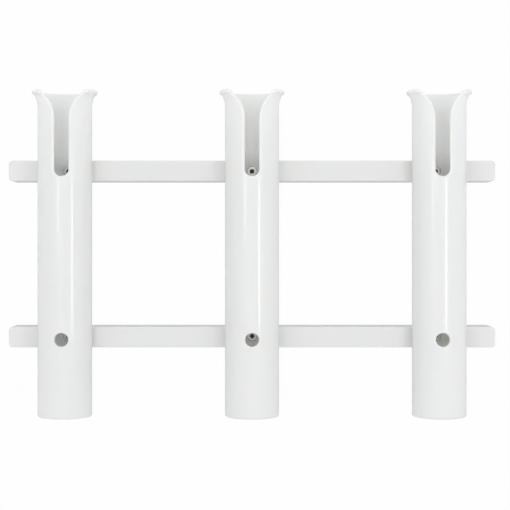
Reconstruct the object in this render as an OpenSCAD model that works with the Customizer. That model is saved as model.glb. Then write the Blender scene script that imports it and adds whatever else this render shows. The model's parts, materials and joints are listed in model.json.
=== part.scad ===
// Wall-mounted rack for three fishing rods.
// The origin lies on the wall, at the centre of the screw pattern.
// +Z is up, +X is to the right, and the front faces -Y. Lengths are in millimetres.

/* [Tubes] */
// Outside diameter of each rod tube
tube_d = 48; // [47:0.5:50]
// Diameter of the bore that takes the rod butt
bore_d = 41.4; // [40:0.2:42]
// Height of each tube, from its foot to its rim
tube_h = 289; // [270:1:320]
// Height of the rim above the upper screws
rim_rise = 70.5; // [66:0.5:80]
// Distance between neighbouring tube axes
tube_pitch = 166.3; // [150:0.1:175]
// Distance from the wall to the tube axes
tube_reach = 38; // [36:1:42]
// Thickness of the web that closes the foot of a tube
web_h = 4; // [3:0.5:8]
// Radius round the outside of the foot
foot_r = 2; // [1:0.5:3]
// Diameter of the drain hole in the web
drain_d = 10; // [6:1:16]

/* [Flare] */
// Outside radius of the gentle bend at the start of the flare
bend_r = 27; // [20:1:40]
// Angle that the gentle bend turns the wall outwards
bend_deg = 19; // [12:1:25]
// Outside radius of the tight bend under the lip
lip_bend_r = 6; // [4:0.5:9]
// Angle of the wall at the lip
lip_deg = 60; // [45:1:70]

/* [Slot and access hole] */
// Width of the reel slot
slot_w = 12.4; // [11:0.2:15]
// Depth below the rim at which the slot starts to widen
mouth_depth = 25.5; // [24:0.5:30]
// Radius of the curves that widen the slot
mouth_r = 28; // [20:1:32]
// Diameter of the screwdriver hole in the front wall
access_d = 12; // [11:0.5:15]

/* [Rails] */
// Length of each rail
rail_len = 436.5; // [430:0.5:450]
// Height of each rail
rail_h = 18.5; // [17:0.5:24]
// Depth of each rail, from the wall to its front face
rail_depth = 28; // [26:0.5:30]
// Distance between the centre lines of the two rails
rail_spacing = 149; // [130:1:160]
// Corner radius of the rail ends
rail_corner_r = 3.5; // [3:0.5:6]
// Thickness of the walls and ribs of the hollow rails
rail_wall = 2.5; // [2:0.25:3]
// Gap between a tube and the saddle it sits in
saddle_gap = 0.1; // [0.05:0.05:0.2]
// Diameter of the bosses that the screws pass through
boss_d = 12; // [10:0.5:13]

/* [Screws] */
// Outside diameter of the threaded part
screw_d = 4.8; // [4:0.1:5]
// Diameter of the smooth neck that passes through the plastic
neck_d = 4.4; // [3.6:0.1:4.8]
// Diameter of the countersunk head
head_d = 9.2; // [8.4:0.1:9.6]
// Height of the countersunk head
head_h = 2.6; // [2.2:0.1:2.8]
// Width of the square drive recess
recess_w = 3.4; // [2.8:0.1:3.5]
// Depth of the square drive recess
recess_depth = 2; // [1.5:0.1:2]
// Length of screw that stands out behind the wall face
screw_out = 20; // [15:1:30]
// Length of the pointed tip
tip_len = 5; // [4:0.5:7]

/* [Hidden] */
$fn = 96;

white_plastic = [0.93, 0.93, 0.92];
stainless_steel = [0.72, 0.71, 0.69];

left_x = -tube_pitch;
middle_x = 0;
right_x = tube_pitch;
tube_xs = [left_x, middle_x, right_x];
upper_z = rail_spacing / 2;
lower_z = -rail_spacing / 2;

// The flare is two bends of the wall, one after the other, and a round lip
wall = (tube_d - bore_d) / 2;
lip_r = wall / 2;
centre_step = bend_r - lip_bend_r;
flare_h = centre_step * sin(bend_deg) + (lip_bend_r + lip_r) * sin(lip_deg) + lip_r;
rim_z = upper_z + rim_rise;
foot_z = rim_z - tube_h;
flare_z = rim_z - flare_h;
bend_centre = [tube_d / 2 + bend_r, flare_z];
lip_bend_centre = bend_centre + centre_step * [-cos(bend_deg), sin(bend_deg)];
lip_centre = lip_bend_centre + (lip_bend_r + lip_r) * [-cos(lip_deg), sin(lip_deg)];

// The slot ends level with the upper screws. Its mouth curves out to 45 degrees
mouth_deg = 45;
mouth_z = rim_z - mouth_depth;
mouth_half = slot_w / 2 + mouth_r * (1 - cos(mouth_deg));
mouth_line_z = mouth_z + mouth_r * sin(mouth_deg);
past_rim_z = rim_z + 2;

// The head lies just under the surface of the bore, so that rods slide past it.
// The neck ends just behind the wall face
head_sink = 0.05;
head_y = bore_d / 2 + head_sink;
neck_len = tube_reach - head_y + 0.3;
thread_end = tube_reach - head_y + screw_out - tip_len;
tip_r = 0.4;
hole_d = screw_d + 0.4;
cut_past = 1;
bend_steps = 8;

saddle_r = tube_d / 2 + saddle_gap;
rib_pitch = tube_pitch / 4;
end_rib_x = tube_pitch + saddle_r + rail_wall;
rib_xs = concat(tube_xs, [for (n = [-3:3]) n * rib_pitch], [-end_rib_x, end_rib_x]);

// Points along an arc whose centre lies outside the tube. The angle is that of the wall
function bend_points(centre, r, from_deg, to_deg) =
    [for (n = [1:bend_steps]) let (a = from_deg + (to_deg - from_deg) * n / bend_steps)
        centre + r * [-cos(a), sin(a)]];

// Half section of a tube: the foot, then the outer face up to the lip and the bore down
module tube_profile() {
    translate([drain_d / 2, foot_z])
        square([tube_d / 2 - foot_r - drain_d / 2, web_h]);
    translate([tube_d / 2 - foot_r, foot_z + foot_r])
        circle(foot_r);
    translate([bore_d / 2, foot_z + foot_r])
        square([wall, web_h]);
    polygon(concat(
        [[bore_d / 2, foot_z + web_h], [tube_d / 2, foot_z + web_h], [tube_d / 2, flare_z]],
        bend_points(bend_centre, bend_r, 0, bend_deg),
        bend_points(lip_bend_centre, lip_bend_r, bend_deg, lip_deg),
        bend_points(lip_centre, lip_r, 180 + lip_deg, lip_deg),
        bend_points(lip_bend_centre, lip_bend_r + wall, lip_deg, bend_deg),
        bend_points(bend_centre, bend_r + wall, bend_deg, 0)
    ));
}

// Front view of the slot: round end, straight sides, then curves out to a wide V at the rim
module slot_outline() {
    translate([0, upper_z])
        circle(slot_w / 2);
    translate([-slot_w / 2, upper_z])
        square([slot_w, mouth_line_z - upper_z]);
    difference() {
        translate([-mouth_half, mouth_z])
            square([2 * mouth_half, mouth_line_z - mouth_z]);
        for (side = [-1, 1])
            translate([side * (slot_w / 2 + mouth_r), mouth_z])
                circle(mouth_r);
    }
    polygon([
        [0, mouth_line_z - mouth_half],
        [mouth_half + past_rim_z - mouth_line_z, past_rim_z],
        [-mouth_half - past_rim_z + mouth_line_z, past_rim_z]
    ]);
}

// Cutter for the countersunk screw hole in the back wall of a tube
module screw_seat() {
    rotate([-90, 0, 0]) {
        cylinder(h = tube_d, d = hole_d);
        translate([0, 0, head_y])
            cylinder(h = head_h, r1 = head_d / 2, r2 = neck_d / 2);
        translate([0, 0, head_y - cut_past])
            cylinder(h = cut_past, d = head_d);
    }
}

module rod_tube(x) {
    color(white_plastic)
        translate([x, -tube_reach, 0])
            difference() {
                rotate_extrude()
                    tube_profile();
                rotate([90, 0, 0])
                    linear_extrude(tube_d)
                        slot_outline();
                translate([0, 0, lower_z])
                    rotate([90, 0, 0])
                        cylinder(h = tube_d, d = access_d);
                for (z = [lower_z, upper_z])
                    translate([0, 0, z])
                        screw_seat();
            }
}

// Rectangle with round corners, centred on the origin
module rounded_rectangle(width, height, r) {
    square([width - 2 * r, height], center = true);
    square([width, height - 2 * r], center = true);
    for (sx = [-1, 1], sy = [-1, 1])
        translate([sx * (width / 2 - r), sy * (height / 2 - r)])
            circle(r);
}

// Bar along X with its back on the wall
module bar(inset, depth) {
    rotate([90, 0, 0])
        linear_extrude(depth)
            rounded_rectangle(rail_len - 2 * inset, rail_h - 2 * inset, rail_corner_r - inset);
}

// Skins round the saddles, ribs across the channel and a boss for each screw
module rail_inner_walls() {
    for (x = tube_xs) {
        translate([x, -tube_reach, -rail_h / 2])
            cylinder(h = rail_h, r = saddle_r + rail_wall);
        translate([x, 0, 0])
            rotate([90, 0, 0])
                cylinder(h = tube_reach - tube_d / 2, d = boss_d);
    }
    for (x = rib_xs)
        translate([x - rail_wall / 2, -rail_depth, -rail_h / 2])
            cube([rail_wall, rail_depth, rail_h]);
}

module rail(z) {
    color(white_plastic)
        translate([0, 0, z])
            difference() {
                bar(0, rail_depth);
                difference() {
                    translate([0, cut_past, 0])
                        bar(rail_wall, rail_depth + cut_past - rail_wall);
                    rail_inner_walls();
                }
                for (x = tube_xs) {
                    translate([x, -tube_reach, -rail_h])
                        cylinder(h = 2 * rail_h, r = saddle_r);
                    translate([x, cut_past, 0])
                        rotate([90, 0, 0])
                            cylinder(h = tube_reach, d = hole_d);
                }
            }
}

// Wall screw with a square recess, turned to where it stopped when it was tightened
module wall_screw(x, z, turn) {
    color(stainless_steel)
        translate([x, head_y - tube_reach, z])
            rotate([-90, 0, 0])
                difference() {
                    union() {
                        cylinder(h = head_h, r1 = head_d / 2, r2 = neck_d / 2);
                        cylinder(h = neck_len, d = neck_d);
                        translate([0, 0, neck_len])
                            cylinder(h = thread_end - neck_len, d = screw_d);
                        translate([0, 0, thread_end])
                            cylinder(h = tip_len, r1 = screw_d / 2, r2 = tip_r);
                    }
                    rotate([0, 0, turn])
                        translate([-recess_w / 2, -recess_w / 2, -cut_past])
                            cube([recess_w, recess_w, recess_depth + cut_past]);
                }
}

module left_tube() { rod_tube(left_x); }
module middle_tube() { rod_tube(middle_x); }
module right_tube() { rod_tube(right_x); }
module upper_rail() { rail(upper_z); }
module lower_rail() { rail(lower_z); }
module upper_left_screw() { wall_screw(left_x, upper_z, 20); }
module upper_middle_screw() { wall_screw(middle_x, upper_z, -12); }
module upper_right_screw() { wall_screw(right_x, upper_z, 30); }
module lower_left_screw() { wall_screw(left_x, lower_z, 8); }
module lower_middle_screw() { wall_screw(middle_x, lower_z, 45); }
module lower_right_screw() { wall_screw(right_x, lower_z, -25); }

left_tube();
middle_tube();
right_tube();
upper_rail();
lower_rail();
upper_left_screw();
upper_middle_screw();
upper_right_screw();
lower_left_screw();
lower_middle_screw();
lower_right_screw();
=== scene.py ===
"""Looks of the three-tube rod rack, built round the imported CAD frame.

Lengths are in metres in the row frame: the wall is the plane y = 0, the front faces -Y and +Z is up.
"""

import json
import math

import bmesh
import bpy
import numpy as np
from mathutils import Matrix, Vector
from mathutils.geometry import delaunay_2d_cdt

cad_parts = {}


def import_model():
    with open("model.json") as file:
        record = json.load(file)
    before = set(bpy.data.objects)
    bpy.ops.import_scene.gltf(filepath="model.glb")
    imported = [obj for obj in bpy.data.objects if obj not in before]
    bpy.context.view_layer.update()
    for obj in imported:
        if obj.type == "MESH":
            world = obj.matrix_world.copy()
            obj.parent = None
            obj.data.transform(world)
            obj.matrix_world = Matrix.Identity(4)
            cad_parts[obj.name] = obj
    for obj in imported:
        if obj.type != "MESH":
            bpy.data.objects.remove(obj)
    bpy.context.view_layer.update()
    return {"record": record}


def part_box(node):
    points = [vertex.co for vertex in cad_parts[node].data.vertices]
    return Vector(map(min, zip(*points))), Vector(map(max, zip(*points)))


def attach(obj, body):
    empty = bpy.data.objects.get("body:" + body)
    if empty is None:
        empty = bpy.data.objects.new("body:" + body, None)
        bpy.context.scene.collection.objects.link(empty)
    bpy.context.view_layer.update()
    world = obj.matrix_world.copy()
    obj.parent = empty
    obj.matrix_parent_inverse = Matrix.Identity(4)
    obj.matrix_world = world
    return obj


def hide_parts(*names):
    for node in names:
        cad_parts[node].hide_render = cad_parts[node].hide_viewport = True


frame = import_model()

# ---------------------------------------------------------------- sizes from the frame

MM = 0.001
mounts = {m["name"]: m for m in frame["record"]["mounts"]}
bore = mounts["middle_rod_bore"]
pattern = mounts["wall_screws_outer"]["dims"]
SIDES = ("left", "middle", "right")
TUBE_X = {side: mounts[f"{side}_rod_bore"]["pos_m"][0] for side in SIDES}
AXIS_Y = bore["pos_m"][1]
BORE_R = bore["dims"]["r_mm"] * MM
BORE_LENGTH = bore["dims"]["length_mm"] * MM
SCREW_Z = {"upper": pattern["spacing_y_mm"] * MM / 2, "lower": -pattern["spacing_y_mm"] * MM / 2}
THREAD_R = pattern["stud_r_mm"] * MM
FOOT_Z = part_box("middle_tube")[0].z
SCREW_HEAD_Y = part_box("upper_middle_screw")[0].y
SCREW_TIP_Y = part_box("upper_middle_screw")[1].y
HEAD_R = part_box("upper_middle_screw")[1].x

# ---------------------------------------------------------------- sizes of the tube moulding

WALL = 3.3 * MM
HALF_WALL = WALL / 2
OUTER_R = BORE_R + WALL
MIDDLE_R = BORE_R + HALF_WALL
WEB = 4 * MM
FOOT_R = 2 * MM
BORE_FILLET = 1.2 * MM
DRAIN_R = 5 * MM
DRAIN_EDGE = 0.6 * MM
SHEET_Z = FOOT_Z + WEB + 2 * MM
FLARE_Z = FOOT_Z + WEB + BORE_LENGTH
BEND_R = 27 * MM + HALF_WALL
BEND_ANGLE = math.radians(19)
LIP_BEND_R = 6 * MM + HALF_WALL
LIP_ANGLE = math.radians(60)
SLOT_HALF = 6.2 * MM
MOUTH_Z = 119.5 * MM
MOUTH_R = 28 * MM
MOUTH_ANGLE = math.radians(45)
EAR_ROUNDING = 3.6 * MM
ACCESS_R = 6 * MM
ACCESS_EDGE = 0.9 * MM
SEAT_R = HEAD_R + 0.12 * MM
SEAT_EDGE = 0.3 * MM
SCREW_HOLE_R = THREAD_R + 0.2 * MM
HEAD_HEIGHT = 2.6 * MM
NECK_R = 2.2 * MM
CONE_END_Y = SCREW_HEAD_Y + HEAD_HEIGHT * (HEAD_R - SCREW_HOLE_R) / (HEAD_R - NECK_R)
COLUMNS = 144
HOLE_STEPS = 48
EDGE_STEPS = 10


class MeshBuilder:
    """Collects points with their exact normals, and faces, and welds them into one closed mesh."""

    def __init__(self):
        self.points = []
        self.normals = []
        self.faces = []

    def add(self, points, normals):
        """Adds rows of points with their normals and returns the index of each."""
        points = np.asarray(points, float).reshape(-1, 3)
        normals = np.asarray(normals, float).reshape(-1, 3)
        first = len(self.points)
        self.points.extend(points)
        self.normals.extend(normals / np.linalg.norm(normals, axis=1)[:, None])
        return np.arange(first, first + len(points))

    def bands(self, rings, closed=True):
        """Joins each ring of indices to the next one with quads."""
        for near, far in zip(rings, rings[1:]):
            count = len(near) if closed else len(near) - 1
            for k in range(count):
                n = (k + 1) % len(near)
                self.faces.append((near[k], near[n], far[n], far[k]))

    def build(self, name, weld=2e-6):
        mesh = bpy.data.meshes.new(name)
        bm = bmesh.new()
        layer = bm.verts.layers.float_vector.new("exact_normal")
        verts = []
        for point, normal in zip(self.points, self.normals):
            vert = bm.verts.new(point)
            vert[layer] = normal
            verts.append(vert)
        for face in self.faces:
            corners = [verts[i] for i in face]
            bm.faces.new(corners)
        bmesh.ops.remove_doubles(bm, verts=bm.verts, dist=weld)
        bmesh.ops.recalc_face_normals(bm, faces=bm.faces)
        normals = [vert[layer].copy() for vert in bm.verts]
        for face in bm.faces:
            face.smooth = True
        bm.to_mesh(mesh)
        bm.free()
        mesh.attributes.remove(mesh.attributes["exact_normal"])
        mesh.normals_split_custom_set_from_vertices(normals)
        return mesh


def new_piece(name, mesh, node, material):
    """A piece that stands for one CAD node and rides on the rack's only body."""
    piece = bpy.data.objects.new(name, mesh)
    bpy.context.scene.collection.objects.link(piece)
    mesh.materials.clear()
    mesh.materials.append(material)
    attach(piece, "root")
    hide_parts(node)
    return piece


# ---------------------------------------------------------------- tube wall as a curved sheet

STRAIGHT = FLARE_Z - SHEET_Z
BEND_LENGTH = BEND_R * BEND_ANGLE
RIM_S = STRAIGHT + BEND_LENGTH + LIP_BEND_R * (LIP_ANGLE - BEND_ANGLE)


def wall_section(s):
    """Radius, height and wall angle of the wall's middle surface, s along it from SHEET_Z up."""
    s = np.asarray(s, float)
    gentle = np.clip((s - STRAIGHT) / BEND_R, 0, BEND_ANGLE)
    tight = np.clip((s - STRAIGHT - BEND_LENGTH) / LIP_BEND_R, 0, LIP_ANGLE - BEND_ANGLE)
    angle = gentle + tight
    after = BEND_ANGLE + tight
    r = MIDDLE_R + BEND_R * (1 - np.cos(gentle)) + LIP_BEND_R * (math.cos(BEND_ANGLE) - np.cos(after))
    rise = BEND_R * np.sin(gentle) + LIP_BEND_R * (np.sin(after) - math.sin(BEND_ANGLE))
    return r, SHEET_Z + np.minimum(s, STRAIGHT) + rise, angle


def wall_frame(phi, s):
    """Points on the middle surface and its outward normals. phi is 0 at the front and grows to +X."""
    phi = np.asarray(phi, float)
    r, z, angle = wall_section(s)
    points = np.stack([r * np.sin(phi), AXIS_Y - r * np.cos(phi), z], -1)
    flat = np.cos(angle)
    normals = np.stack([flat * np.sin(phi), -flat * np.cos(phi), -np.sin(angle)], -1)
    return points, normals


def height_to_s(z):
    """The inverse of wall_section's height."""
    table = np.linspace(0, RIM_S, 4001)
    return np.interp(z, wall_section(table)[1], table)


def on_front(x, z):
    """(phi, s) of the front-view point (x, z) on the middle surface."""
    s = height_to_s(z)
    return np.arcsin(x / wall_section(s)[0]), s


def arc(centre, radius, start, end, count):
    """Front-view points on an arc. Angles are from +X towards +Z."""
    t = np.linspace(start, end, count)
    return np.stack([centre[0] + radius * np.cos(t), centre[1] + radius * np.sin(t)], -1)


def slot_side():
    """(phi, s) points down the slot's right side, from the round ear to the foot of the slot.

    They lie half a wall inside the solid, because the round edge is added to them.
    """
    mouth_centre = (SLOT_HALF + MOUTH_R, MOUTH_Z)
    mouth_r = MOUTH_R - HALF_WALL
    curve = arc(mouth_centre, mouth_r, math.pi - MOUTH_ANGLE, math.pi, 14)
    rim_z = wall_section(RIM_S)[1]
    slope_x = curve[0][0] + rim_z - curve[0][1]
    slope = np.linspace((slope_x, rim_z), curve[0], 40, endpoint=False)
    corner = np.array(on_front(*slope[0]))
    slope_s = np.stack(on_front(slope[:, 0], slope[:, 1]), -1)
    # The ear's corner is rounded in the sheet's own lengths
    scale = np.array([wall_section(RIM_S)[0], 1])
    away = np.linalg.norm((slope_s - corner) * scale, axis=1)
    kept = slope_s[away > EAR_ROUNDING]
    below, beside = kept[0], corner + np.array([EAR_ROUNDING / scale[0], 0])
    t = np.linspace(0, 1, 9)[:, None]
    ear = (1 - t) ** 2 * beside + 2 * t * (1 - t) * corner + t**2 * below
    straight_z = np.linspace(MOUTH_Z, SCREW_Z["upper"], 16)[1:-1]
    straight = np.stack([np.full(len(straight_z), SLOT_HALF + HALF_WALL), straight_z], -1)
    end_z = SCREW_Z["upper"]
    end = arc((0, end_z), SLOT_HALF + HALF_WALL, 0, -math.pi / 2, 13)
    lower = np.concatenate([curve, straight, end])
    lower_s = np.stack(on_front(lower[:, 0], lower[:, 1]), -1)
    return np.concatenate([ear, kept[3::3], lower_s])


def sheet_rows():
    """Distances s of the grid's rows: close together at the holes and the flare, far apart between."""
    fine, coarse = 1.3 * MM, 6 * MM
    lower, upper = SCREW_Z["lower"], SCREW_Z["upper"]
    reach = 13 * MM
    stretches = [
        (SHEET_Z, lower - reach, coarse),
        (lower - reach, lower + reach, fine),
        (lower + reach, upper - reach, coarse),
        (upper - reach, upper + reach, fine),
        (upper + reach, MOUTH_Z, 4 * MM),
        (MOUTH_Z, FLARE_Z, 1.5 * MM),
    ]
    rows = [0.0]
    for low, high, step in stretches:
        count = math.ceil((high - low) / step)
        rows.extend(np.linspace(low, high, count + 1)[1:] - SHEET_Z)
    count = math.ceil((RIM_S - STRAIGHT) / (1.1 * MM))
    rows.extend(np.linspace(STRAIGHT, RIM_S, count + 1)[1:])
    return np.array(rows)


ROWS = sheet_rows()
SEAM = -math.pi / 2
GRID_CLEARANCE = 0.45
COLUMN_PHI = SEAM + np.arange(COLUMNS + 1) * 2 * math.pi / COLUMNS


def to_grid(path):
    """(phi, s) to the grid's own columns and rows."""
    path = np.asarray(path, float)
    column = (path[:, 0] - SEAM) * COLUMNS / (2 * math.pi)
    return np.stack([column, np.interp(path[:, 1], ROWS, np.arange(len(ROWS)))], -1)


def edge_path():
    """The wall's free edge, once round: the rim behind the ears, then the slot. (phi, s) points."""
    right = slot_side()
    left = right[::-1][1:] * [-1, 1]
    slot = np.concatenate([right, left])
    columns = COLUMN_PHI[(COLUMN_PHI > -math.pi / 2) & (COLUMN_PHI <= 3 * math.pi / 2)]
    ear = right[0][0]
    gap = math.radians(1.2)
    behind = columns[columns > ear + gap]
    rim_right = np.stack([behind[::-1], np.full(len(behind), RIM_S)], -1)
    beyond = COLUMN_PHI[COLUMN_PHI < -ear - gap]
    rim_left = np.stack([beyond[::-1], np.full(len(beyond), RIM_S)], -1)
    return np.concatenate([rim_right, slot, rim_left])


def round_hole(phi, z, radius, wall_r, count):
    """(phi, s) points round a hole whose axis lies along Y."""
    t = np.arange(count) * 2 * math.pi / count
    turn = np.arcsin(radius * np.sin(t) / wall_r)
    return np.stack([phi + turn, z + radius * np.cos(t) - SHEET_Z], -1)


def inside(points, loop):
    """Which of the points lie inside the closed loop."""
    x, y = points[:, 0][:, None], points[:, 1][:, None]
    ax, ay = loop[:, 0], loop[:, 1]
    bx, by = np.roll(ax, -1), np.roll(ay, -1)
    crosses = (ay > y) != (by > y)
    rise = np.where(by == ay, 1, by - ay)
    at = ax + (y - ay) * (bx - ax) / rise
    return np.sum(crosses & (x < at), axis=1) % 2 == 1


def distance_to(points, loop):
    """How far each point is from the closed loop."""
    a, b = loop, np.roll(loop, -1, axis=0)
    run = b - a
    square = np.maximum((run**2).sum(1), 1e-12)
    nearest = np.full(len(points), 1e9)
    for start, step, length in zip(a, run, square):
        t = np.clip(((points - start) @ step) / length, 0, 1)
        nearest = np.minimum(nearest, np.linalg.norm(points - start - t[:, None] * step, axis=1))
    return nearest


def triangulate(outline, holes):
    """Points (phi, s) and triangles that fill the outline round the holes.

    They lie on the grid, except where it comes nearer than GRID_CLEARANCE, in grid steps, to a loop.
    """
    loops = [outline] + holes
    grid_loops = [to_grid(loop) for loop in loops]
    columns, rows = np.meshgrid(np.arange(1, COLUMNS), np.arange(1, len(ROWS) - 1), indexing="ij")
    grid = np.stack([columns.ravel(), rows.ravel()], -1).astype(float)
    keep = inside(grid, grid_loops[0])
    for loop in grid_loops[1:]:
        keep &= ~inside(grid, loop)
    for loop in grid_loops:
        near = keep.copy()
        near[keep] = distance_to(grid[keep], loop) > GRID_CLEARANCE
        keep = near
    grid = grid[keep]
    flat = np.concatenate(grid_loops + [grid])
    edges, start = [], 0
    for loop in grid_loops:
        n = len(loop)
        edges.extend((start + k, start + (k + 1) % n) for k in range(n))
        start += n
    found = delaunay_2d_cdt([Vector(p) for p in flat], edges, [], 0, 1e-7, True)
    corners, triangles, origins = found[0], np.array(found[2]), found[3]
    column, row = grid.astype(int).T
    own = np.concatenate(loops + [np.stack([COLUMN_PHI[column], ROWS[row]], -1)])
    sheet = np.array([own[o[0]] for o in origins])
    flat = np.array([tuple(c) for c in corners])
    middle = flat[triangles].mean(1)
    keep = inside(middle, grid_loops[0])
    for loop in grid_loops[1:]:
        keep &= ~inside(middle, loop)
    return sheet, triangles[keep]


def rounded_section(half, radius, steps):
    """Section of a rounded edge: (out, across, normal out, normal across), from +half to -half."""
    t = np.linspace(0, math.pi / 2, steps // 2 + 1)
    first = np.stack([radius * np.sin(t), half - radius + radius * np.cos(t), np.sin(t), np.cos(t)], -1)
    second = first[::-1] * [1, -1, 1, -1]
    if half - radius < 1e-9:
        second = second[1:]
    return np.concatenate([first, second])


def add_edge(builder, path, section, outward):
    """Sweeps a rounded section along a closed (phi, s) path. outward is the sign of tangent x normal."""
    points, normals = wall_frame(path[:, 0], path[:, 1])
    tangents = np.roll(points, -1, axis=0) - np.roll(points, 1, axis=0)
    out = outward * np.cross(tangents, normals)
    out /= np.linalg.norm(out, axis=1)[:, None]
    rings = []
    for away, across, normal_away, normal_across in section:
        rings.append(
            builder.add(points + out * away + normals * across, out * normal_away + normals * normal_across)
        )
    builder.bands(rings)


def add_skin(builder, outline, holes, offset):
    """One face of the wall, offset from the middle surface along its normal."""
    sheet, triangles = triangulate(outline, holes)
    points, normals = wall_frame(sheet[:, 0], sheet[:, 1])
    index = builder.add(points + normals * offset, normals * math.copysign(1, offset))
    builder.faces.extend(tuple(index[list(t)]) for t in triangles)


def lathe_ring(builder, r, z, normal_r, normal_z):
    """A ring of points about the tube's axis, one for each column of the grid."""
    phi = COLUMN_PHI[:-1]
    points = np.stack([r * np.sin(phi), AXIS_Y - r * np.cos(phi), np.full(len(phi), z)], -1)
    normals = np.stack([normal_r * np.sin(phi), -normal_r * np.cos(phi), np.full(len(phi), normal_z)], -1)
    return builder.add(points, normals)


def add_foot(builder):
    """The closed foot: outer corner, underside, drain hole, web and the fillet up to the bore."""
    top = FOOT_Z + WEB
    section = [(OUTER_R, SHEET_Z, 1, 0)]

    def turn(centre_r, centre_z, radius, start, end, steps, hollow=1):
        for t in np.linspace(math.radians(start), math.radians(end), steps):
            c, s = math.cos(t), math.sin(t)
            section.append((centre_r + radius * c, centre_z + radius * s, hollow * c, hollow * s))

    turn(OUTER_R - FOOT_R, FOOT_Z + FOOT_R, FOOT_R, 0, -90, 8)
    turn(DRAIN_R + DRAIN_EDGE, FOOT_Z + DRAIN_EDGE, DRAIN_EDGE, -90, -180, 5)
    turn(DRAIN_R + DRAIN_EDGE, top - DRAIN_EDGE, DRAIN_EDGE, 180, 90, 5)
    turn(BORE_R - BORE_FILLET, top + BORE_FILLET, BORE_FILLET, -90, 0, 7, hollow=-1)
    section.append((BORE_R, SHEET_Z, -1, 0))
    builder.bands([lathe_ring(builder, *ring) for ring in section])


def back_loop(builder, radius, z, y, normal_out, normal_y, count):
    """Points on a circle about a screw's axis. y is one value or one for each point."""
    t = np.arange(count) * 2 * math.pi / count
    x, up = np.sin(t), np.cos(t)
    points = np.stack([radius * x, np.broadcast_to(y, t.shape), z + radius * up], -1)
    normals = np.stack([normal_out * x, np.full(count, normal_y), normal_out * up], -1)
    return builder.add(points, normals)


def add_screw_seat(builder, z, count):
    """The countersunk hole through the back wall, from the bore to the outer face."""
    t = np.arange(count) * 2 * math.pi / count

    def face_y(radius, wall_r):
        return AXIS_Y + np.sqrt(wall_r**2 - (radius * np.sin(t)) ** 2)

    mouth = SEAT_R + SEAT_EDGE
    x = mouth * np.sin(t)
    y = face_y(mouth, BORE_R)
    bore_normals = np.stack([-x, AXIS_Y - y, np.zeros(count)], -1)
    rings = [builder.add(np.stack([x, y, z + mouth * np.cos(t)], -1), bore_normals)]
    lip_y = np.minimum(face_y(SEAT_R, BORE_R) + SEAT_EDGE * 0.4, SCREW_HEAD_Y)
    rings.append(back_loop(builder, SEAT_R + SEAT_EDGE * 0.3, z, lip_y, -0.7, -0.7, count))
    rings.append(back_loop(builder, SEAT_R, z, SCREW_HEAD_Y + 0.1 * MM, -1, -0.2, count))
    rings.append(back_loop(builder, SCREW_HOLE_R, z, CONE_END_Y, -0.8, -0.6, count))
    rings.append(back_loop(builder, SCREW_HOLE_R, z, face_y(SCREW_HOLE_R, OUTER_R), -1, 0, count))
    builder.bands(rings)


def tube_mesh():
    """The middle tube's mesh: two skins of the wall, its rounded edges, the foot and the screw seats."""
    builder = MeshBuilder()
    edge = edge_path()
    seam_rows = ROWS[1:-1]
    bottom = np.stack([COLUMN_PHI, np.zeros(COLUMNS + 1)], -1)
    right_seam = np.stack([np.full(len(seam_rows), COLUMN_PHI[-1]), seam_rows], -1)
    left_seam = np.stack([np.full(len(seam_rows), SEAM), seam_rows[::-1]], -1)
    corner = np.array([[SEAM, RIM_S]])
    full_edge = edge if edge[-1][0] == SEAM else np.concatenate([edge, corner])
    outline = np.concatenate([bottom, right_seam, full_edge, left_seam])
    access = round_hole(0, SCREW_Z["lower"], ACCESS_R + ACCESS_EDGE, MIDDLE_R, HOLE_STEPS)
    seats, bolt_holes = [], []
    for z in SCREW_Z.values():
        seats.append(round_hole(math.pi, z, SEAT_R + SEAT_EDGE, BORE_R, HOLE_STEPS))
        bolt_holes.append(round_hole(math.pi, z, SCREW_HOLE_R, OUTER_R, HOLE_STEPS))
        add_screw_seat(builder, z, HOLE_STEPS)
    add_skin(builder, outline, [access] + bolt_holes, HALF_WALL)
    add_skin(builder, outline, [access] + seats, -HALF_WALL)
    # The seam's two ends are one point of the closed edge
    add_edge(builder, full_edge[:-1], rounded_section(HALF_WALL, HALF_WALL, EDGE_STEPS), 1)
    add_edge(builder, access, rounded_section(HALF_WALL, ACCESS_EDGE, 8), 1)
    add_foot(builder)
    return builder.build("tube")


# ---------------------------------------------------------------- rails

RAIL_HALF_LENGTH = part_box("upper_rail")[1].x
RAIL_HALF_H = (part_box("upper_rail")[1].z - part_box("upper_rail")[0].z) / 2
RAIL_FRONT_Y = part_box("upper_rail")[0].y
RAIL_CORNER_R = 3.5 * MM
RAIL_WALL = 2.5 * MM
SADDLE_R = OUTER_R + 0.1 * MM
RAIL_EDGE = 1.2 * MM
BOSS_R = 6 * MM
PITCH = TUBE_X["right"]
END_RIB_X = PITCH + SADDLE_R + RAIL_WALL
RIB_XS = [PITCH * n / 4 for n in range(-4, 5)] + [-END_RIB_X, END_RIB_X]


def circle(centre, radius, count):
    """Points round a circle, as (u, v)."""
    t = np.arange(count) * 2 * math.pi / count
    return np.stack([centre[0] + radius * np.cos(t), centre[1] + radius * np.sin(t)], -1)


def rounded_rectangle(half_width, half_height, radius, steps):
    """Outline of a rectangle with round corners, centred on the origin."""
    corners = []
    for sx, sz, start in ((1, 1, 0), (-1, 1, 90), (-1, -1, 180), (1, -1, 270)):
        centre = (sx * (half_width - radius), sz * (half_height - radius))
        corners.append(arc(centre, radius, math.radians(start), math.radians(start + 90), steps))
    return np.concatenate(corners)


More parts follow.
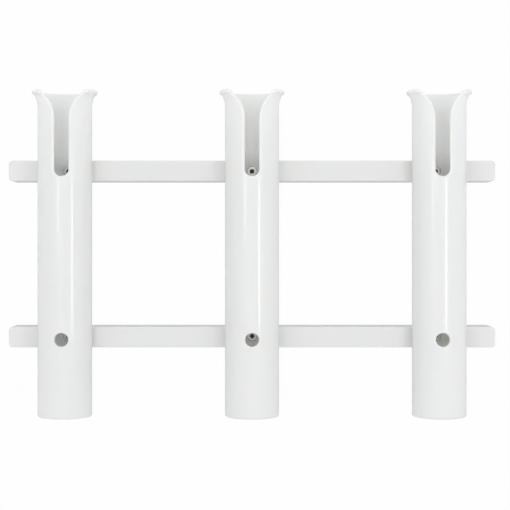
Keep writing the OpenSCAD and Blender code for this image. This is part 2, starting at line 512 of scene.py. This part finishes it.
def prism(bm, outline, low, high, axis):
    """Adds an outline to bm, drawn out along y (outline in x, z) or along z (outline in x, y)."""
    ends = []
    for depth in (low, high):
        if axis == "y":
            ends.append([bm.verts.new((u, depth, v)) for u, v in outline])
        else:
            ends.append([bm.verts.new((u, v, depth)) for u, v in outline])
    near, far = ends
    count = len(near)
    for k in range(count):
        bm.faces.new((near[k], near[(k + 1) % count], far[(k + 1) % count], far[k]))
    bm.faces.new(near)
    bm.faces.new(far)


def solid(name, prisms):
    """A temporary object of one or more separate prisms."""
    bm = bmesh.new()
    for each in prisms:
        prism(bm, *each)
    bmesh.ops.recalc_face_normals(bm, faces=bm.faces)
    mesh = bpy.data.meshes.new(name)
    bm.to_mesh(mesh)
    bm.free()
    made = bpy.data.objects.new(name, mesh)
    bpy.context.scene.collection.objects.link(made)
    return made


def applied(obj):
    """Replaces an object's mesh by the result of its modifiers."""
    bpy.context.view_layer.update()
    graph = bpy.context.evaluated_depsgraph_get()
    result = obj.evaluated_get(graph)
    mesh = bpy.data.meshes.new_from_object(result, preserve_all_data_layers=True, depsgraph=graph)
    obj.modifiers.clear()
    old, obj.data = obj.data, mesh
    bpy.data.meshes.remove(old)


def cut(obj, tool):
    """Takes a temporary object away from another one."""
    modifier = obj.modifiers.new("cut", "BOOLEAN")
    modifier.operation, modifier.solver, modifier.object = "DIFFERENCE", "EXACT", tool
    applied(obj)
    mesh = tool.data
    bpy.data.objects.remove(tool)
    bpy.data.meshes.remove(mesh)


def rail_edge_width(edge):
    """How far an edge of the rail is rounded: most along the front, less at the saddles and behind."""
    if not edge.is_manifold or edge.calc_face_angle() < math.radians(30) or not edge.is_convex:
        return 0
    ends = [v.co for v in edge.verts]
    near = 0.02 * MM

    def on_saddle(x):
        return all(abs(math.hypot(p.x - x, p.y - AXIS_Y) - SADDLE_R) < 0.05 * MM for p in ends)

    at_saddle = any(on_saddle(x) for x in TUBE_X.values())
    if all(abs(p.y - RAIL_FRONT_Y) < near for p in ends):
        return RAIL_EDGE / 2 if at_saddle else RAIL_EDGE
    if at_saddle and all(abs(abs(p.z) - RAIL_HALF_H) < near for p in ends):
        return 0.4 * MM
    if all(abs(p.y) < near for p in ends):
        return 0.3 * MM
    return 0


def rail_mesh():
    """One rail about z = 0: a hollow bar with saddles, ribs and a boss for each screw."""
    front, height, wall_half = RAIL_FRONT_Y, RAIL_HALF_H, RAIL_WALL / 2
    xs = list(TUBE_X.values())
    outline = rounded_rectangle(RAIL_HALF_LENGTH, height, RAIL_CORNER_R, 9)
    inner = rounded_rectangle(RAIL_HALF_LENGTH - RAIL_WALL, height - RAIL_WALL, RAIL_CORNER_R - RAIL_WALL, 5)
    rail = solid("rail", [(outline, front, 0, "y")])
    channel = solid("channel", [(inner, front + RAIL_WALL, MM, "y")])
    skins = [(circle((x, AXIS_Y), SADDLE_R + RAIL_WALL, COLUMNS), -2 * height, 2 * height, "z") for x in xs]
    bosses = [(circle((x, 0), BOSS_R, 64), front, 2 * MM, "y") for x in xs]
    ribs = []
    for x in RIB_XS:
        low, high = x - wall_half, x + wall_half
        box = [(low, -2 * height), (high, -2 * height), (high, 2 * height), (low, 2 * height)]
        ribs.append((box, 2 * front, 2 * MM, "y"))
    for tool in (skins, bosses, ribs):
        cut(channel, solid("keep", tool))
    cut(rail, channel)
    saddles = [(circle((x, AXIS_Y), SADDLE_R, COLUMNS), -2 * height, 2 * height, "z") for x in xs]
    cut(rail, solid("saddles", saddles))
    holes = [(circle((x, 0), SCREW_HOLE_R, HOLE_STEPS), 2 * front, 2 * MM, "y") for x in xs]
    cut(rail, solid("holes", holes))

    bm = bmesh.new()
    bm.from_mesh(rail.data)
    bmesh.ops.remove_doubles(bm, verts=bm.verts, dist=2e-6)
    bmesh.ops.dissolve_limit(bm, angle_limit=math.radians(0.2), verts=bm.verts, edges=bm.edges)
    weight = bm.edges.layers.float.new("bevel_weight_edge")
    for edge in bm.edges:
        width = rail_edge_width(edge)
        edge[weight] = width / RAIL_EDGE
        edge.smooth = width > 0 or not edge.is_manifold or edge.calc_face_angle() < math.radians(30)
    for face in bm.faces:
        face.smooth = True
    bm.to_mesh(rail.data)
    bm.free()
    bevel = rail.modifiers.new("round", "BEVEL")
    bevel.limit_method, bevel.width, bevel.segments = "WEIGHT", RAIL_EDGE, 4
    bevel.use_clamp_overlap, bevel.miter_outer = False, "MITER_SHARP"
    normals = rail.modifiers.new("normals", "WEIGHTED_NORMAL")
    normals.keep_sharp, normals.mode, normals.weight = True, "FACE_AREA", 100
    applied(rail)
    mesh = rail.data
    bpy.data.objects.remove(rail)
    return mesh


# ---------------------------------------------------------------- screws

TURNS = {
    "upper_left": 20, "upper_middle": -12, "upper_right": 30,
    "lower_left": 8, "lower_middle": 45, "lower_right": -25,
}
RECESS_HALF = 1.7 * MM
RECESS_DEPTH = 2.0 * MM
RECESS_CORNER = 0.35 * MM
THREAD_START_Y = 0.3 * MM
TIP_LENGTH = 5 * MM
THREAD_PITCH = 1.8 * MM
THREAD_CORE = 0.72
THREAD_ROWS = (0.0, 0.26, 0.47, 0.53, 0.74)
SCREW_COLUMNS = 48


def square_ring(half, corner, count):
    """Points (x, z) round a square with round corners, one for each of count equal turns."""
    t = (np.arange(count) + 0.5) * 2 * math.pi / count
    c, s = np.cos(t), np.sin(t)
    flat = half / np.maximum(np.abs(c), np.abs(s))
    inner = half - corner
    # Where the ray meets the corner's arc instead of a flat side
    u, v = np.abs(c), np.abs(s)
    along = inner * (u + v)
    root = np.sqrt(np.maximum(along**2 - 2 * inner**2 + corner**2, 0))
    on_arc = np.minimum(flat * u, flat * v) > inner
    r = np.where(on_arc, along + root, flat)
    return np.stack([r * c, r * s], -1)


def screw_mesh():
    """A countersunk screw about the y axis: recess, head, smooth neck, thread and point."""
    bm = bmesh.new()
    # A per-vertex amount of painted shade: 1 deep in the drive recess, 0 on the rest of the screw
    shade = bm.verts.layers.float.new("recess")
    count = SCREW_COLUMNS
    t = (np.arange(count) + 0.5) * 2 * math.pi / count
    around = np.stack([np.cos(t), np.sin(t)], -1)

    def ring(points, y, painted_shade=0.0):
        y = np.broadcast_to(y, (count,))
        verts = [bm.verts.new((u, depth, v)) for (u, v), depth in zip(points, y)]
        for vert in verts:
            vert[shade] = painted_shade
        return verts

    top = SCREW_HEAD_Y
    floor_half = RECESS_HALF - 0.15 * MM
    centre = bm.verts.new((0, top + RECESS_DEPTH + 0.35 * MM, 0))
    centre[shade] = 1.0
    # The recess rings carry the painted shade, full at the floor and fading out towards the mouth
    rings = [
        ring(square_ring(floor_half * 0.55, RECESS_CORNER, count), top + RECESS_DEPTH + 0.2 * MM, 1.0),
        ring(square_ring(floor_half, RECESS_CORNER, count), top + RECESS_DEPTH, 1.0),
        ring(square_ring(RECESS_HALF, RECESS_CORNER, count), top + 0.18 * MM, 0.8),
        ring(square_ring(RECESS_HALF + 0.05 * MM, RECESS_CORNER, count), top + 0.05 * MM, 0.3),
        ring(square_ring(RECESS_HALF + 0.17 * MM, RECESS_CORNER, count), top, 0.0),
    ]
    crown = 0.2 * MM
    for r in (0.62, 0.8):
        rings.append(ring(around * HEAD_R * r, top))
    for angle in np.linspace(0, 80, 5):
        a = math.radians(angle)
        rings.append(ring(around * (HEAD_R - crown * (1 - math.sin(a))), top + crown * (1 - math.cos(a))))
    slope = (HEAD_R - NECK_R) / HEAD_HEIGHT
    for part in np.linspace(0.14, 1, 4):
        rings.append(ring(around * (HEAD_R - slope * HEAD_HEIGHT * part), top + HEAD_HEIGHT * part))
    for y in np.linspace(top + HEAD_HEIGHT, THREAD_START_Y - 0.6 * MM, 5)[1:]:
        rings.append(ring(around * NECK_R, y))

    helix = thread_rows(ring, around)
    rings.append(helix[0])
    for near, far in zip(rings, rings[1:]):
        for k in range(count):
            n = (k + 1) % count
            bm.faces.new((near[k], near[n], far[n], far[k]))
    # A row of the helix goes on, once round, as the row a whole pitch further
    lap, last = len(THREAD_ROWS), len(helix) - 1
    for row in range(last):
        for k in range(count):
            if k < count - 1:
                beyond = helix[row][k + 1], helix[row + 1][k + 1]
            else:
                beyond = helix[min(row + lap, last)][0], helix[min(row + 1 + lap, last)][0]
            bm.faces.new(dict.fromkeys((helix[row][k], *beyond, helix[row + 1][k])))
    point = bm.verts.new((0, SCREW_TIP_Y, 0))
    for k in range(count):
        n = (k + 1) % count
        bm.faces.new((centre, rings[0][n], rings[0][k]))
        bm.faces.new((point, helix[-1][k], helix[-1][n]))
    return finish_screw(bm)


def thread_rows(ring, around):
    """Rows of points that climb along the helix, held to the ends of the thread."""
    start, end = THREAD_START_Y, SCREW_TIP_Y - 0.3 * MM
    taper_y = SCREW_TIP_Y - TIP_LENGTH
    turn = np.arange(SCREW_COLUMNS) / SCREW_COLUMNS
    laps = math.ceil((end - start) / THREAD_PITCH) + 1
    rows = []
    for lap in range(-1, laps):
        for phase in THREAD_ROWS:
            y = np.clip(start + (lap + phase + turn) * THREAD_PITCH, start, end)
            outer = np.interp(y, [start, taper_y, SCREW_TIP_Y], [THREAD_R, THREAD_R, 0.32 * MM])
            crest = 1 - np.clip((abs(phase - 0.5) - 0.03) / 0.21, 0, 1)
            run_in = np.clip((y - start) / THREAD_PITCH, 0, 1) * np.clip((end - y) / MM, 0, 1)
            share = THREAD_CORE + (1 - THREAD_CORE) * crest * run_in
            rows.append(ring(around * (outer * share)[:, None], y))
    return rows


def finish_screw(bm):
    """Welds the ends of the thread, where its rows are held together, and makes the mesh."""
    bmesh.ops.remove_doubles(bm, verts=bm.verts, dist=4e-6)
    bmesh.ops.dissolve_degenerate(bm, edges=bm.edges, dist=4e-6)
    bmesh.ops.recalc_face_normals(bm, faces=bm.faces)
    for face in bm.faces:
        face.smooth = True
    for edge in bm.edges:
        edge.smooth = not edge.is_manifold or edge.calc_face_angle() < math.radians(32)
    mesh = bpy.data.meshes.new("screw")
    bm.to_mesh(mesh)
    bm.free()
    return mesh


# ---------------------------------------------------------------- materials


def add_nodes(material, *specs):
    """Adds shader nodes by (key, type, {socket or attribute: value}) and returns them by key."""
    tree = material.node_tree
    made = {}
    for key, kind, values in specs:
        node = tree.nodes.new(kind)
        for name, value in values.items():
            if name in node.inputs:
                node.inputs[name].default_value = value
            else:
                setattr(node, name, value)
        made[key] = node
    return made


def new_material(name, **values):
    """A Principled material with those values on its own sockets. Returns (material, shader)."""
    material = bpy.data.materials.new(name)
    material.use_nodes = True
    shader = material.node_tree.nodes["Principled BSDF"]
    for socket, value in values.items():
        shader.inputs[socket.replace("_", " ")].default_value = value
    return material, shader


def ramp(node, stops):
    """Sets the stops of a colour ramp."""
    elements = node.color_ramp.elements
    while len(elements) < len(stops):
        elements.new(0.5)
    for element, (at, value) in zip(elements, stops):
        element.position = at
        element.color = (*value, 1) if isinstance(value, tuple) else (value, value, value, 1)


def white_plastic(name, low, high, through):
    """Glossy moulded plastic, clouded between two whites. `through` is the share of light its faces pass."""
    material, shader = new_material(
        name,
        IOR=1.49,
        Subsurface_Weight=1.0,
        Subsurface_Radius=(1.0, 0.94, 0.84),
        Subsurface_Scale=0.001,
    )
    n = add_nodes(
        material,
        ("place", "ShaderNodeTexCoord", {}),
        ("cloud", "ShaderNodeTexNoise", {"Scale": 9.0, "Detail": 2.0, "Roughness": 0.5}),
        ("colour", "ShaderNodeValToRGB", {}),
        ("gloss", "ShaderNodeMapRange", {"From Min": 0.2, "From Max": 0.8, "To Min": 0.13, "To Max": 0.17}),
        ("waves", "ShaderNodeTexNoise", {"Scale": 180.0, "Detail": 2.0, "Roughness": 0.4}),
        ("bump", "ShaderNodeBump", {"Strength": 0.12, "Distance": 0.00003}),
        ("through", "ShaderNodeBsdfTranslucent", {}),
        ("share", "ShaderNodeMixShader", {"Fac": through}),
    )
    ramp(n["colour"], [(0.2, low), (0.8, high)])
    link = material.node_tree.links.new
    link(n["place"].outputs["Object"], n["cloud"].inputs["Vector"])
    link(n["place"].outputs["Object"], n["waves"].inputs["Vector"])
    link(n["cloud"].outputs["Fac"], n["colour"].inputs["Fac"])
    link(n["cloud"].outputs["Fac"], n["gloss"].inputs["Value"])
    link(n["waves"].outputs["Fac"], n["bump"].inputs["Height"])
    link(n["colour"].outputs["Color"], shader.inputs["Base Color"])
    link(n["gloss"].outputs["Result"], shader.inputs["Roughness"])
    link(n["bump"].outputs["Normal"], shader.inputs["Normal"])
    link(n["colour"].outputs["Color"], n["through"].inputs["Color"])
    link(shader.outputs["BSDF"], n["share"].inputs[1])
    link(n["through"].outputs["BSDF"], n["share"].inputs[2])
    link(n["share"].outputs["Shader"], material.node_tree.get_output_node("ALL").inputs["Surface"])
    return material


def stainless_steel():
    """Satin stainless steel, with painted shade that takes the drive recess down to near-black."""
    material, shader = new_material("stainless_steel", Metallic=1.0)
    n = add_nodes(
        material,
        ("place", "ShaderNodeTexCoord", {}),
        ("grain", "ShaderNodeTexNoise", {"Scale": 900.0, "Detail": 4.0, "Roughness": 0.6}),
        ("gloss", "ShaderNodeMapRange", {"From Min": 0.3, "From Max": 0.7, "To Min": 0.22, "To Max": 0.38}),
        ("depth", "ShaderNodeAttribute", {"attribute_name": "recess"}),
        ("colour", "ShaderNodeValToRGB", {}),
        ("bump", "ShaderNodeBump", {"Strength": 0.3, "Distance": 0.00001}),
    )
    # Painted shade: the per-vertex shade value darkens the steel to near-black inside the drive recess
    ramp(n["colour"], [(0.0, (0.52, 0.51, 0.49)), (0.9, (0.05, 0.05, 0.05))])
    link = material.node_tree.links.new
    link(n["place"].outputs["Object"], n["grain"].inputs["Vector"])
    link(n["grain"].outputs["Fac"], n["gloss"].inputs["Value"])
    link(n["grain"].outputs["Fac"], n["bump"].inputs["Height"])
    link(n["depth"].outputs["Fac"], n["colour"].inputs["Fac"])
    link(n["colour"].outputs["Color"], shader.inputs["Base Color"])
    link(n["gloss"].outputs["Result"], shader.inputs["Roughness"])
    link(n["bump"].outputs["Normal"], shader.inputs["Normal"])
    return material


# ---------------------------------------------------------------- pieces

# One plastic on the real rack. The two versions are fitted so that tubes and rails look equally bright
thin_white = white_plastic("tube_plastic", (0.962, 0.961, 0.946), (0.970, 0.969, 0.956), 0.36)
thick_white = white_plastic("rail_plastic", (0.822, 0.821, 0.810), (0.832, 0.831, 0.821), 0.15)
steel = stainless_steel()


def placed(mesh, name, x, z, turn=0.0):
    """A copy of a mesh, turned about its own y axis and moved to its place."""
    own = mesh.copy()
    own.name = name
    own.transform(Matrix.Translation((x, 0, z)) @ Matrix.Rotation(math.radians(turn), 4, "Y"))
    return own


tube, rail, screw = tube_mesh(), rail_mesh(), screw_mesh()
for side, x in TUBE_X.items():
    name = f"{side}_tube_shell"
    new_piece(name, placed(tube, name, x, 0), f"{side}_tube", thin_white)
for row, z in SCREW_Z.items():
    name = f"{row}_rail_bar"
    new_piece(name, placed(rail, name, 0, z), f"{row}_rail", thick_white)
    for side, x in TUBE_X.items():
        name = f"{row}_{side}_wood_screw"
        turned = placed(screw, name, x, z, TURNS[f"{row}_{side}"])
        new_piece(name, turned, f"{row}_{side}_screw", steel)
for mesh in (tube, rail, screw):
    bpy.data.meshes.remove(mesh)

# ---------------------------------------------------------------- floor, light and camera


SKY_STRENGTH = 1.49
COOL = (0.972, 0.988, 1.0)
# (place, brightness) from the front of the sky to the back, and from the bottom to the top
SKY_DEPTHS = [(0.0, 1.0), (0.1, 0.8), (0.25, 0.66), (0.5, 0.77), (0.75, 0.7), (0.93, 0.68), (0.98, 0.42)]
SKY_HEIGHTS = [(0.1, 0.15), (0.35, 0.6), (0.48, 1.0), (0.65, 1.0), (0.9, 0.85)]


def world():
    """A cool sky, brightest in front and dim below and straight behind. The camera sees plain white."""
    made = bpy.data.worlds.new("studio")
    made.use_nodes = True
    tree = made.node_tree
    tree.nodes.clear()
    n = add_nodes(
        made,
        ("out", "ShaderNodeOutputWorld", {}),
        ("mix", "ShaderNodeMixShader", {}),
        ("path", "ShaderNodeLightPath", {}),
        ("seen", "ShaderNodeBackground", {"Color": (1, 1, 1, 1), "Strength": 0.99}),
        ("light", "ShaderNodeBackground", {"Strength": SKY_STRENGTH}),
        ("place", "ShaderNodeTexCoord", {}),
        ("parts", "ShaderNodeSeparateXYZ", {}),
        ("depth", "ShaderNodeMapRange", {"From Min": -1.0, "From Max": 1.0}),
        ("up", "ShaderNodeMapRange", {"From Min": -1.0, "From Max": 1.0}),
        ("depth_shade", "ShaderNodeValToRGB", {}),
        ("up_shade", "ShaderNodeValToRGB", {}),
        ("both", "ShaderNodeMix", {"data_type": "RGBA", "blend_type": "MULTIPLY"}),
    )
    ramp(n["depth_shade"], SKY_DEPTHS)
    ramp(n["up_shade"], [(at, tuple(shade * c for c in COOL)) for at, shade in SKY_HEIGHTS])
    both = n["both"]
    both.inputs["Factor"].default_value = 1.0
    link = tree.links.new
    link(n["place"].outputs["Generated"], n["parts"].inputs["Vector"])
    link(n["parts"].outputs["Y"], n["depth"].inputs["Value"])
    link(n["parts"].outputs["Z"], n["up"].inputs["Value"])
    link(n["depth"].outputs["Result"], n["depth_shade"].inputs["Fac"])
    link(n["up"].outputs["Result"], n["up_shade"].inputs["Fac"])
    link(n["depth_shade"].outputs["Color"], both.inputs["A"])
    link(n["up_shade"].outputs["Color"], both.inputs["B"])
    link(both.outputs["Result"], n["light"].inputs["Color"])
    link(n["path"].outputs["Is Camera Ray"], n["mix"].inputs["Fac"])
    link(n["light"].outputs["Background"], n["mix"].inputs[1])
    link(n["seen"].outputs["Background"], n["mix"].inputs[2])
    link(n["mix"].outputs["Shader"], n["out"].inputs["Surface"])
    bpy.context.scene.world = made


def softbox(name, place, target, width, height, power):
    """A rectangular light at a place, turned to the target."""
    light = bpy.data.lights.new(name, "AREA")
    light.shape, light.size, light.size_y, light.energy = "RECTANGLE", width, height, power
    made = bpy.data.objects.new(name, light)
    bpy.context.scene.collection.objects.link(made)
    made.location = place
    made.rotation_euler = (Vector(target) - Vector(place)).to_track_quat("-Z", "Y").to_euler()


FLOOR_R = 4.4
FLOOR_Z = -1.2


def pale_floor():
    """A round floor, far enough below the rack to stay out of the front view."""
    bm = bmesh.new()
    bmesh.ops.create_circle(bm, cap_ends=True, segments=96, radius=FLOOR_R)
    mesh = bpy.data.meshes.new("floor")
    bm.to_mesh(mesh)
    bm.free()
    made = bpy.data.objects.new("floor", mesh)
    bpy.context.scene.collection.objects.link(made)
    made.location = (0, 0, FLOOR_Z)
    material, _ = new_material("floor_paint", Base_Color=(0.84, 0.84, 0.83, 1), Roughness=0.7)
    mesh.materials.append(material)


world()
pale_floor()
softbox("key", (0.50, -0.89, -0.01), (0, AXIS_Y, -0.01), 0.10, 0.26, 0.95)
softbox("fill", (-0.37, -1.15, 0.05), (0, AXIS_Y, 0.0), 0.25, 0.5, 0.3)
softbox("upper_streak", (-0.50, -0.92, 0.09), (0, AXIS_Y, 0.06), 0.06, 0.12, 0.3)

camera = bpy.data.objects.new("camera", bpy.data.cameras.new("camera"))
bpy.context.scene.collection.objects.link(camera)
camera.location = (0, -1.171, 0.012)
camera.rotation_euler = (math.pi / 2, 0, 0)
camera.data.lens = 90
camera.data.shift_x = 0.0058
camera.data.shift_y = -0.0282
bpy.context.scene.camera = camera

bpy.context.scene.view_settings.view_transform = "Standard"
